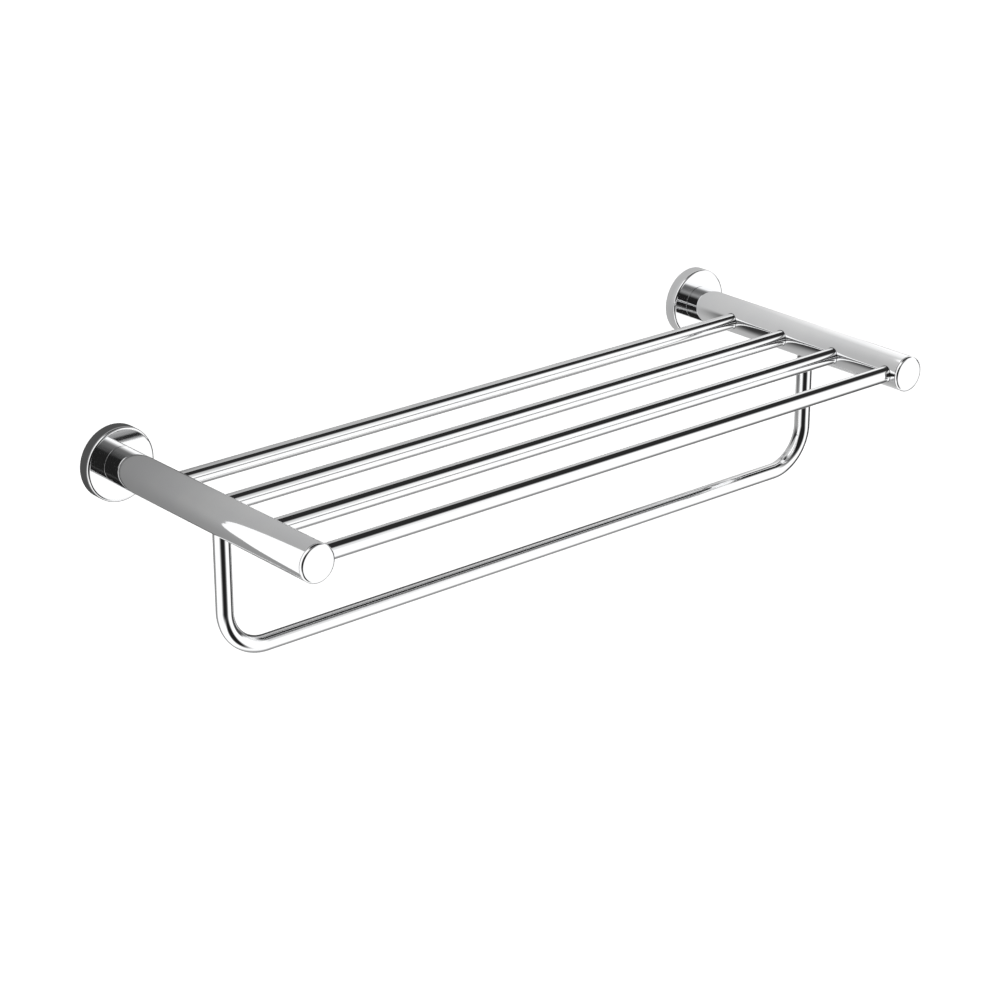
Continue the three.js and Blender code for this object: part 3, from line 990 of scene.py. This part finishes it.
def bar_spigot(side):
    """The brass stub that the bar's leg slips over, with the threaded tail that goes into the arm."""
    node = f"{side}_bar_spigot"
    length = extent_of(node, UP)
    radius = extent_of("towel_bar", TO_ROOM) / 2 - TUBE_WALL - GAP
    shoulder, edge = length - SPIGOT_TAIL, MACHINED_EDGE
    rings = [(0, 0), (radius - edge, 0), (radius, edge), (radius, shoulder - edge / 2)]
    rings += [(radius - edge / 2, shoulder), (M6[0] - edge, shoulder), (M6[0] - edge, shoulder + edge)]
    rings += thread(M6, shoulder + edge, length - edge)
    rings += [(M6[0] - edge, length), (0, length)]
    start = start_of(node, UP)
    made = loft(f"{side}_spigot", rings, UP, start)
    screw = centre_of(f"{side}_bar_grub_screw")
    seat = Vector((start.x, start.y + SPIGOT_SEAT_OFFSET, screw.z))
    drill(made, [Hole(seat, TO_WALL, M4[0] + GAP, 2 * radius)])
    made.data.set_sharp_from_angle(angle=SHARP)
    finish_piece(made, node, "spigot_brass")


NUT_FLATS, NUT_EDGE = 10 * MM, 0.4 * MM

# A nut's chamfer: the heights of its rings over the face, its radius at the face as a share of half
# the width over the flats, and its slope
CHAMFER_HEIGHTS = (0, 0.15 * MM, 0.3 * MM, 0.5 * MM)
CHAMFER_SHARE, CHAMFER_SLOPE = 0.97, 1.7


def chamfered_hexagon(height, thickness):
    """A function for a nut's outside: the radius of a hexagon whose corners are turned off at both faces."""
    flats = hexagon(NUT_FLATS)
    turned = NUT_FLATS / 2 * CHAMFER_SHARE + min(height, thickness - height) * CHAMFER_SLOPE
    return lambda angle: min(flats(angle), turned)


def bar_spigot_nut(side):
    """The nut inside the arm that holds the spigot's threaded tail."""
    node = f"{side}_bar_spigot_nut"
    thickness = extent_of(node, UP)
    bore, edge = M6[0] + GAP / 2, NUT_EDGE
    heights = [*CHAMFER_HEIGHTS, *(thickness - h for h in reversed(CHAMFER_HEIGHTS))]
    rings = [(bore + edge, 0)] + [(chamfered_hexagon(h, thickness), h) for h in heights]
    rings += [(bore + edge, thickness)]
    rings += thread((bore, M6[1]), edge, thickness - edge, hollow=True)
    made = loft(f"{side}_nut", rings, UP, start_of(node, UP), closed=True, facets=TUBE_ROUND)
    finish_piece(made, node, "screw_steel")


# ---------------------------------------------------------------- everything together

make_camera()
make_world()
make_floor()
make_wall()
bpy.context.scene.view_settings.view_transform = "Standard"

PLATE_STEEL = ((0.42, 0.43, 0.44, 1), (0.62, 0.63, 0.64, 1), 0.34, PACKED_ALONG_Y)
SCREW_STEEL = ((0.52, 0.53, 0.55, 1), (0.74, 0.75, 0.76, 1), 0.24)
SPIGOT_BRASS = ((0.62, 0.46, 0.22, 1), (0.80, 0.64, 0.36, 1), 0.26)
MATERIALS = {
    "polished_chrome": chrome(),
    "plate_steel": turned_metal("plate_steel", *PLATE_STEEL),
    "screw_steel": turned_metal("screw_steel", *SCREW_STEEL),
    "spigot_brass": turned_metal("spigot_brass", *SPIGOT_BRASS),
    "plug_nylon": moulded_nylon(),
}
for side in SUPPORTS:
    wall_plate(side)
    rosette(side)
    grub_screw(f"{side}_rosette_grub_screw", DOWN, M5, ROSETTE_SCREW_SOCKET)
    post_washer(side)
    post_screw(side)
    arm_insert(side)
    arm(side)
    cap(side)
    bar_spigot(side)
    bar_spigot_nut(side)
    grub_screw(f"{side}_bar_grub_screw", TO_WALL, M4, BAR_SCREW_SOCKET)
for number in RAILS:
    rail(number)
    for side in SUPPORTS:
        rail_end_plug(number, side)
towel_bar()
